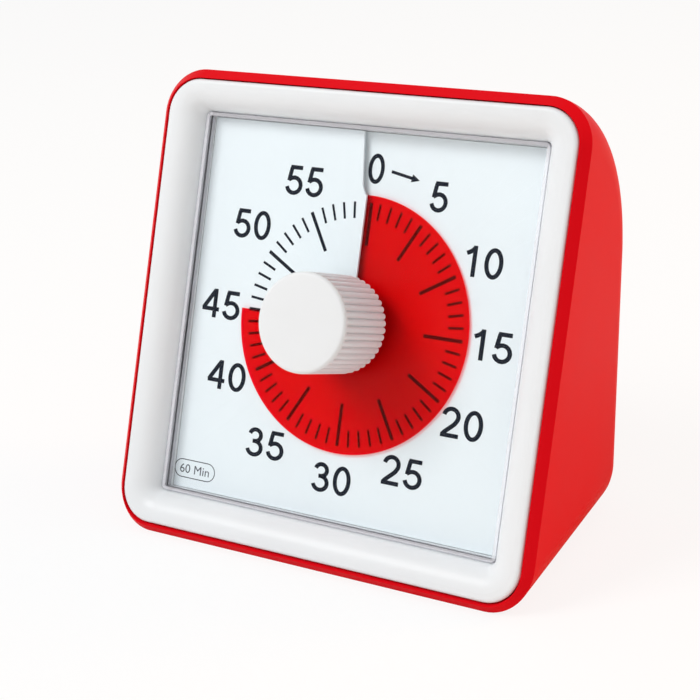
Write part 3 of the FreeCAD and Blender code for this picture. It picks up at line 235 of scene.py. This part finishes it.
clear_links.new(clear_face.outputs["Vector"], clear_split.inputs["Vector"])
edge_tests = []
for axis, kind, edge in (
    ("X", "GREATER_THAN", card_side + skirt_gap),
    ("X", "LESS_THAN", -card_side - skirt_gap),
    ("Y", "GREATER_THAN", card_top + skirt_gap),
    ("Y", "LESS_THAN", card_foot - skirt_gap),
):
    edge_test = clear_nodes.new("ShaderNodeMath")
    edge_test.operation = kind
    edge_test.inputs[1].default_value = edge
    clear_links.new(clear_split.outputs[axis], edge_test.inputs[0])
    edge_tests.append(edge_test)
in_skirt = edge_tests[0]
for edge_test in edge_tests[1:]:
    either = clear_nodes.new("ShaderNodeMath")
    either.operation = "MAXIMUM"
    clear_links.new(in_skirt.outputs["Value"], either.inputs[0])
    clear_links.new(edge_test.outputs["Value"], either.inputs[1])
    in_skirt = either
# Painted light: outside the card's outline a pale lilac coat covers half the view, so the shaded gap
# round the card looks light.
skirt_painted_light_share = clear_nodes.new("ShaderNodeMapRange")
skirt_painted_light_share.inputs["To Max"].default_value = skirt_painted_light_amount
clear_links.new(in_skirt.outputs["Value"], skirt_painted_light_share.inputs["Value"])
# The pale lilac coat of painted light over the shaded gap at the window's edge.
skirt_painted_light_coat = clear_nodes.new("ShaderNodeBsdfPrincipled")
skirt_painted_light_coat.inputs["Base Color"].default_value = (0.86, 0.85, 0.90, 1)
skirt_painted_light_coat.inputs["Roughness"].default_value = 0.3
skirt_painted_light_mix = clear_nodes.new("ShaderNodeMixShader")
clear_links.new(skirt_painted_light_share.outputs["Result"], skirt_painted_light_mix.inputs["Fac"])
clear_links.new(clear_mix.outputs["Shader"], skirt_painted_light_mix.inputs[1])
clear_links.new(skirt_painted_light_coat.outputs["BSDF"], skirt_painted_light_mix.inputs[2])
clear_links.new(skirt_painted_light_mix.outputs["Shader"], clear_nodes["Material Output"].inputs["Surface"])
dress("window_lens", clear_plastic)

# Dial card: coated board, very pale blue, with its slit at the top.
# The tray behind it is plain off-white plastic.
dress("dial_card", moulded_plastic("dial_card_board", (0.87, 0.935, 0.97), 0.55, 0.12, 0.3))
tray_plastic = moulded_plastic("tray_plastic", (0.80, 0.82, 0.83), 0.45, 0.10)
for node in ("dial_tray", "disc_hub"):
    dress(node, tray_plastic)

# Print on the dial: sixty ticks, the numbers every five minutes, the arrow and the small pill.
# It is dark ink on the card, so every point follows the card's slow clockwise climb.
disc_climb = 1.2
card_lift = 0.2
card_front = card_lift - disc_climb / 2
slit_left = -1.4
ink_rise = 0.012


def card_level(x, y):
    """Height of the card's front at a place on the dial, all in millimetres."""
    clockwise = math.degrees(math.atan2(x, y))
    beside_slit = y > 0 and x > slit_left
    if clockwise < 0 and not beside_slit:
        clockwise += 360
    return card_front + disc_climb * clockwise / 360


def lay_on_card(piece):
    """Bring a flat print, drawn in millimetres, down to the card and into its place."""
    for corner in piece.data.vertices:
        x, y, z = corner.co
        corner.co.z = card_level(x, y) + ink_rise
    piece.data.transform(face_frame @ Matrix.Scale(MM, 4))
    piece.data.update()


def only(piece):
    """Select one object and nothing else."""
    bpy.ops.object.select_all(action="DESELECT")
    piece.select_set(True)
    bpy.context.view_layer.objects.active = piece


def joined(name, parts):
    """Join several prints into one object."""
    bpy.ops.object.select_all(action="DESELECT")
    for part in parts:
        part.select_set(True)
    bpy.context.view_layer.objects.active = parts[0]
    bpy.ops.object.join()
    bpy.context.object.name = name
    return bpy.context.object


ink = moulded_plastic("dial_ink", (0.006, 0.009, 0.018), 0.50, 0.05, 0.1)
tick_outer, long_inner, short_inner = 19.88, 12.92, 17.2
long_width, short_width, slit_clear = 0.6, 0.42, 0.06
ticks = []
for minute in range(60):
    is_long = minute % 5 == 0
    tick_inner = long_inner if is_long else short_inner
    tick_width = long_width if is_long else short_width
    bpy.ops.object.select_all(action="DESELECT")
    bpy.ops.mesh.primitive_plane_add(size=1, location=(0, 0, 0))
    tick = bpy.context.object
    bpy.ops.object.mode_set(mode="EDIT")
    bpy.ops.mesh.subdivide(number_cuts=3)
    bpy.ops.object.mode_set(mode="OBJECT")
    beside_slit = tick_width / 2 + slit_clear if minute == 0 else 0.0
    stretch = Matrix.Diagonal((tick_width, tick_outer - tick_inner, 1, 1))
    along = Matrix.Translation((beside_slit, (tick_outer + tick_inner) / 2, 0))
    tick.data.transform(Matrix.Rotation(-math.radians(6 * minute), 4, "Z") @ along @ stretch)
    ticks.append(tick)
dial_ticks = joined("dial_ticks", ticks)
lay_on_card(dial_ticks)

def fitted(words, centre, width, height):
    """Scale a flat drawing to a width and height about a centre."""
    spots = [corner.co for corner in words.data.vertices]
    low = Vector((min(spot.x for spot in spots), min(spot.y for spot in spots), 0))
    high = Vector((max(spot.x for spot in spots), max(spot.y for spot in spots), 0))
    middle = (low + high) / 2
    shift = Matrix.Translation((centre[0], centre[1], 0))
    grow = Matrix.Diagonal((width / (high.x - low.x), height / (high.y - low.y), 1, 1))
    words.data.transform(shift @ grow @ Matrix.Translation(-middle))


def arc(centre_x, centre_y, across, tall, start, end, steps=14):
    """Points on part of an ellipse, by angle."""
    angles = [math.radians(start + (end - start) * n / steps) for n in range(steps + 1)]
    return [(centre_x + across * math.cos(turn), centre_y + tall * math.sin(turn)) for turn in angles]


# Each digit is one or more pen strokes in a box one high; the pen is a seventh as wide.
pen = 0.142
half_pen = pen / 2
DIGITS = {
    "0": [arc(0.31, 0.5, 0.31 - half_pen, 0.5 - half_pen, 0, 360, 40)],
    "1": [[(0.40, 0), (0.40, 1)], [(0.40, 0.93), (0.31, 0.84), (0.22, 0.78), (0.13, 0.74)]],
    "2": [
        arc(0.31, 0.69, 0.235, 0.246, 172, -28)
        + [(0.45, 0.46), (0.34, 0.35), (0.22, 0.24), (0.13, 0.15), (0.085, half_pen)],
        [(0.02, half_pen), (0.61, half_pen)],
    ],
    "3": [
        arc(0.30, 0.735, 0.20, 0.201, 168, -80) + [(0.22, 0.53)],
        [(0.22, 0.53)] + arc(0.30, 0.30, 0.245, 0.236, 88, -168),
    ],
    "4": [[(0.46, 0), (0.46, 1)], [(0.44, 0.95), (0.05, 0.30)], [(0.01, 0.295), (0.62, 0.295)]],
    "5": [
        [(0.13, 1 - half_pen), (0.57, 1 - half_pen)],
        [(0.185, 1 - half_pen), (0.11, 0.47)],
        [(0.10, 0.49)] + arc(0.305, 0.325, 0.25, 0.261, 130, -168),
    ],
}
digit_pitch = 0.745


def pen_stroke(points, corners, faces):
    """Add one flat stroke of the pen's width along its points."""
    closed = math.dist(points[0], points[-1]) < 1e-6
    if closed:
        points = points[:-1]
    first = len(corners)
    count = len(points)
    for n, (x, y) in enumerate(points):
        before = points[n - 1] if closed or n else points[n]
        after = points[(n + 1) % count] if closed or n < count - 1 else points[n]
        along = Vector((after[0] - before[0], after[1] - before[1])).normalized()
        into = Vector((x - before[0], y - before[1]))
        spread = half_pen
        if into.length > 1e-9 and after != points[n]:
            spread = half_pen / max(0.6, abs(into.normalized().dot(along)))
        corners.append((x - along.y * spread, y + along.x * spread, 0))
        corners.append((x + along.y * spread, y - along.x * spread, 0))
    for n in range(count if closed else count - 1):
        here, beyond = first + 2 * n, first + 2 * ((n + 1) % count)
        faces.append((here, here + 1, beyond + 1, beyond))


def number(text, centre, width, height):
    """A number in plain digits as a flat mesh."""
    corners, faces = [], []
    for place, digit in enumerate(text):
        for stroke in DIGITS[digit]:
            pen_stroke([(x + place * digit_pitch, y) for x, y in stroke], corners, faces)
    mesh = bpy.data.meshes.new("number_" + text)
    mesh.from_pydata(corners, [], faces)
    words = bpy.data.objects.new("number_" + text, mesh)
    bpy.context.collection.objects.link(words)
    fitted(words, centre, width, height)
    return words


number_ring, number_shift, number_height, usual_width = 25.4, -0.25, 4.9, 7.3
nudges = {35: (-0.65, 0.1), 40: (-0.6, 0.9), 50: (0.95, 1.3), 55: (0.85, 0.1), 0: (0.69, 0)}
number_widths = {0: 3.0, 5: 3.2, 10: 6.6, 15: 6.9, 35: 7.5, 40: 7.7, 45: 7.7}
numbers = []
for minute in range(0, 60, 5):
    angle = math.radians(6 * minute)
    nudge = nudges.get(minute, (0, 0))
    centre_x = number_ring * math.sin(angle) + number_shift + nudge[0]
    centre_y = number_ring * math.cos(angle) + nudge[1]
    width = number_widths.get(minute, usual_width)
    numbers.append(number(str(minute), (centre_x, centre_y), width, number_height))
dial_numbers = joined("dial_numbers", numbers)
lay_on_card(dial_numbers)

arrow_tail, arrow_tip = Vector((3.3, 25.2)), Vector((8.6, 24.2))
arrow_width, arrow_head, arrow_spread = 0.5, 1.5, 0.65
arrow_line = arrow_tip - arrow_tail
arrow_side = Vector((-arrow_line.y, arrow_line.x)).normalized()
neck = arrow_tip - arrow_line.normalized() * arrow_head
barb = arrow_tip - arrow_line.normalized() * arrow_head
arrow_points = [
    arrow_tail - arrow_side * arrow_width / 2,
    neck - arrow_side * arrow_width / 2,
    barb - arrow_side * arrow_spread,
    arrow_tip,
    barb + arrow_side * arrow_spread,
    neck + arrow_side * arrow_width / 2,
    arrow_tail + arrow_side * arrow_width / 2,
]
arrow_mesh = bpy.data.meshes.new("dial_arrow")
arrow_corners = [(point.x, point.y, 0) for point in arrow_points]
arrow_mesh.from_pydata(arrow_corners, [], [tuple(range(len(arrow_corners)))])
dial_arrow = bpy.data.objects.new("dial_arrow", arrow_mesh)
bpy.context.collection.objects.link(dial_arrow)
lay_on_card(dial_arrow)

pill_centre = Vector((-27.0, -28.7))
pill_width, pill_height, pill_line = 8.4, 3.2, 0.16


def pill_ring(radius):
    """Points round a pill whose ends have one radius."""
    half = pill_width / 2 - pill_height / 2
    points = []
    for side in (1, -1):
        for step in range(13):
            turn = math.radians(-90 + 15 * step) if side > 0 else math.radians(90 + 15 * step)
            x = pill_centre.x + side * half + radius * math.cos(turn)
            points.append((x, pill_centre.y + radius * math.sin(turn), 0))
    return points


outside, inside = pill_ring(pill_height / 2), pill_ring(pill_height / 2 - pill_line)
ring_size = len(outside)
ring_faces = []
for n in range(ring_size):
    beyond = (n + 1) % ring_size
    ring_faces.append((n, beyond, ring_size + beyond, ring_size + n))
pill_mesh = bpy.data.meshes.new("dial_pill")
pill_mesh.from_pydata(outside + inside, [], ring_faces)
dial_pill = bpy.data.objects.new("dial_pill", pill_mesh)
bpy.context.collection.objects.link(dial_pill)
bpy.ops.object.select_all(action="DESELECT")
bpy.ops.object.text_add(location=(0, 0, 0))
bpy.context.object.data.body = "60 Min"
bpy.ops.object.convert(target="MESH")
pill_words = bpy.context.object
words_width, words_height = 6.0, 1.5
fitted(pill_words, pill_centre, words_width, words_height)
dial_pill = joined("dial_pill", [dial_pill, pill_words])
lay_on_card(dial_pill)
grey_ink = moulded_plastic("grey_ink", (0.07, 0.08, 0.10), 0.45, 0.05)
for print_piece, print_ink in (
    (dial_ticks, ink), (dial_numbers, ink), (dial_arrow, ink), (dial_pill, grey_ink)
):
    print_piece.data.materials.clear()
    print_piece.data.materials.append(print_ink)
    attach(print_piece, "case")

# Time disc: a translucent red film with one radial cut, on the hub between flange and collar.
# It is a strip from hub to rim, screwed once round its axis by the film's own climb.
film_inner, film_outer, film_thickness = 3.5, 21.05, 0.2
film_angle = 45 * 6
bpy.ops.object.select_all(action="DESELECT")
film_steps = 6
spokes = [(0, film_inner + (film_outer - film_inner) * n / film_steps, 0) for n in range(film_steps + 1)]
film_mesh = bpy.data.meshes.new("red_film")
film_mesh.from_pydata(spokes, [(n, n + 1) for n in range(film_steps)], [])
film = bpy.data.objects.new("red_film", film_mesh)
bpy.context.collection.objects.link(film)
turn_round = film.modifiers.new("turn_round", "SCREW")
turn_round.angle = math.radians(360)
turn_round.screw_offset = disc_climb
turn_round.steps = 180
turn_round.render_steps = 180
turn_round.axis = "Z"
turn_round.use_merge_vertices = False
only(film)
bpy.ops.object.modifier_apply(modifier=turn_round.name)
film_skin = film.modifiers.new("film_skin", "SOLIDIFY")
film_skin.thickness = film_thickness
film_skin.offset = 0
bpy.ops.object.modifier_apply(modifier=film_skin.name)
clockwise_climb = Matrix.Diagonal((-1, 1, 1, 1))
start_level = disc_climb * (film_angle - 360) / 360
film.data.transform(Matrix.Rotation(-math.radians(film_angle - 360), 4, "Z") @ clockwise_climb)
film.data.transform(Matrix.Translation((0, 0, start_level)))
only(film)
bpy.ops.object.mode_set(mode="EDIT")
bpy.ops.mesh.select_all(action="SELECT")
bpy.ops.mesh.normals_make_consistent(inside=False)
bpy.ops.object.mode_set(mode="OBJECT")
film.data.transform(face_frame @ Matrix.Scale(MM, 4))
bpy.ops.object.shade_smooth_by_angle(angle=math.radians(30))
red_film = bpy.data.materials.new("red_film_tint")
red_film.use_nodes = True
film_nodes, film_links = red_film.node_tree.nodes, red_film.node_tree.links
film_base = film_nodes["Principled BSDF"]
film_base.inputs["Base Color"].default_value = (0.90, 0.001, 0.008, 1)
film_base.inputs["Specular IOR Level"].default_value = 0.2
film_base.inputs["Roughness"].default_value = 0.35
film_tint = film_nodes.new("ShaderNodeBsdfTransparent")
film_tint.inputs["Color"].default_value = (1.0, 0.015, 0.14, 1)
film_place = film_nodes.new("ShaderNodeTexCoord")
film_cloud = film_nodes.new("ShaderNodeTexNoise")
film_cloud.inputs["Scale"].default_value = 700
film_links.new(film_place.outputs["Object"], film_cloud.inputs["Vector"])
film_share = film_nodes.new("ShaderNodeMapRange")
film_share.inputs["To Min"].default_value = 0.04
film_share.inputs["To Max"].default_value = 0.07
film_links.new(film_cloud.outputs["Fac"], film_share.inputs["Value"])
film_mix = film_nodes.new("ShaderNodeMixShader")
film_links.new(film_share.outputs["Result"], film_mix.inputs["Fac"])
film_links.new(film_tint.outputs["BSDF"], film_mix.inputs[1])
film_links.new(film_base.outputs["BSDF"], film_mix.inputs[2])
film_links.new(film_mix.outputs["Shader"], film_nodes["Material Output"].inputs["Surface"])
film.data.materials.append(red_film)
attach(film, "red_disc")
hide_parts("time_disc")

# Knob: a white drum with rounded grip ridges, a smooth collar and a flat front with a soft edge.
# It is moulded in one piece and pressed on the spindle in front of the window.
knob_radius, ridge_reach, ridge_count = 7.45, 0.5, 42
knob_base, knob_front, knob_soft = 3.4, 16.15, 0.55
points_a_ridge = 12
collar_width, collar_ramp, collar_share = 0.35, 0.12, 0.9
front_insets = (1.6, 4.0)


def ridged(turn, plain=0.0):
    """Radius of the knob's outline in one direction; plain turns the ridges into a round collar."""
    rise = math.sqrt(abs(math.cos(turn * ridge_count / 2)))
    return knob_radius + ridge_reach * (rise * (1 - plain) + collar_share * plain)


soft_steps = 5
collar_start = knob_front - knob_soft - collar_width
rings = [
    (knob_base, 0.0, 0.0),
    (collar_start, 0.0, 0.0),
    (collar_start + collar_ramp, 0.0, 1.0),
    (knob_front - knob_soft, 0.0, 1.0),
]
for step in range(1, soft_steps + 1):
    now = math.radians(90 * step / soft_steps)
    rings.append((knob_front - knob_soft * (1 - math.sin(now)), knob_soft * (1 - math.cos(now)), 1.0))
rings += [(knob_front, inset, 1.0) for inset in front_insets]
around = ridge_count * points_a_ridge
knob_points = []
for level, inward, plain in rings:
    for n in range(around):
        turn = 2 * math.pi * n / around
        reach = ridged(turn, plain) - inward
        knob_points.append((reach * math.cos(turn), reach * math.sin(turn), level))
knob_faces = []
for ring in range(len(rings) - 1):
    for n in range(around):
        low, beside = ring * around + n, ring * around + (n + 1) % around
        knob_faces.append((low, beside, beside + around, low + around))
knob_faces.append(tuple(reversed(range(around))))
knob_faces.append(tuple((len(rings) - 1) * around + n for n in range(around)))
knob_mesh = bpy.data.meshes.new("grip_knob")
knob_mesh.from_pydata(knob_points, [], knob_faces)
knob = bpy.data.objects.new("grip_knob", knob_mesh)
bpy.context.collection.objects.link(knob)
knob.data.transform(face_frame @ Matrix.Scale(MM, 4))
only(knob)
bpy.ops.object.shade_smooth_by_angle(angle=math.radians(45))
knob.data.materials.append(moulded_plastic("knob_plastic", (0.80, 0.815, 0.825), 0.40, 0.05, 0.25))
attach(knob, "dial_drive")
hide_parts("knob")

# Inside: movement, motor, wheels, board, sounder and switch, all behind the dial.
# They keep their moulded, stamped and wound finishes for when the case is opened.


def plated_metal(name, colour, roughness):
    """A plated or plain metal with fine drawn marks."""
    material = bpy.data.materials.new(name)
    material.use_nodes = True
    nodes, links = material.node_tree.nodes, material.node_tree.links
    shader = nodes["Principled BSDF"]
    shader.inputs["Metallic"].default_value = 1.0
    shader.inputs["Base Color"].default_value = (*colour, 1)
    place = nodes.new("ShaderNodeTexCoord")
    stretch = nodes.new("ShaderNodeMapping")
    stretch.inputs["Scale"].default_value = (400, 4000, 4000)
    marks = nodes.new("ShaderNodeTexNoise")
    marks.inputs["Scale"].default_value = 1
    marks.inputs["Detail"].default_value = 3
    links.new(place.outputs["Object"], stretch.inputs["Vector"])
    links.new(stretch.outputs["Vector"], marks.inputs["Vector"])
    polish = nodes.new("ShaderNodeMapRange")
    polish.inputs["To Min"].default_value = roughness - 0.08
    polish.inputs["To Max"].default_value = roughness + 0.12
    links.new(marks.outputs["Fac"], polish.inputs["Value"])
    links.new(polish.outputs["Result"], shader.inputs["Roughness"])
    return material


steel = plated_metal("plated_steel", (0.62, 0.62, 0.63), 0.30)
steel_nodes = ["spindle", "clutch_washer", "stator", "rotor"]
steel_nodes += ["contact_plus", "contact_minus", "contact_spring"]
steel_nodes += [name for name in frame["nodes"] if "_screw_" in name]
for node in steel_nodes:
    dress(node, steel)
brass = plated_metal("wheel_brass", (0.75, 0.55, 0.22), 0.32)
for node in ("centre_wheel", "third_wheel", "second_wheel"):
    dress(node, brass)
dress("drive_coil", plated_metal("coil_wire", (0.66, 0.26, 0.10), 0.35))
black_plastic = moulded_plastic("black_movement_plastic", (0.02, 0.02, 0.022), 0.42, 0.15)
for node in ("movement_front", "movement_rear", "sounder", "switch_body"):
    dress(node, black_plastic)
dress("circuit_board", moulded_plastic("board_mask", (0.02, 0.16, 0.06), 0.35, 0.08))

# Battery cell: one size-AA cell in a plain dark sleeve with a bare steel nub.
# The sleeve's band is set along the cell, which lies across the case.
cell_low, cell_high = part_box("battery_cell")
sleeve_dark, sleeve_copper, band_width = (0.05, 0.055, 0.06), (0.55, 0.38, 0.16), 11 * MM
cell_sleeve = moulded_plastic("cell_sleeve", sleeve_dark, 0.28, 0.03, 0.6)
sleeve_nodes, sleeve_links = cell_sleeve.node_tree.nodes, cell_sleeve.node_tree.links
sleeve_shader = sleeve_nodes["Principled BSDF"]
sleeve_place = sleeve_nodes.new("ShaderNodeTexCoord")
sleeve_split = sleeve_nodes.new("ShaderNodeSeparateXYZ")
sleeve_links.new(sleeve_place.outputs["Object"], sleeve_split.inputs["Vector"])
sleeve_band = sleeve_nodes.new("ShaderNodeMath")
sleeve_band.operation = "LESS_THAN"
sleeve_band.inputs[1].default_value = cell_low[0] + band_width
sleeve_links.new(sleeve_split.outputs["X"], sleeve_band.inputs[0])
sleeve_mix = sleeve_nodes.new("ShaderNodeMix")
sleeve_mix.data_type = "RGBA"
sleeve_mix.inputs["A"].default_value = (*sleeve_dark, 1)
sleeve_mix.inputs["B"].default_value = (*sleeve_copper, 1)
sleeve_links.new(sleeve_band.outputs["Value"], sleeve_mix.inputs["Factor"])
sleeve_links.new(sleeve_mix.outputs["Result"], sleeve_shader.inputs["Base Color"])
dress("battery_cell", cell_sleeve)
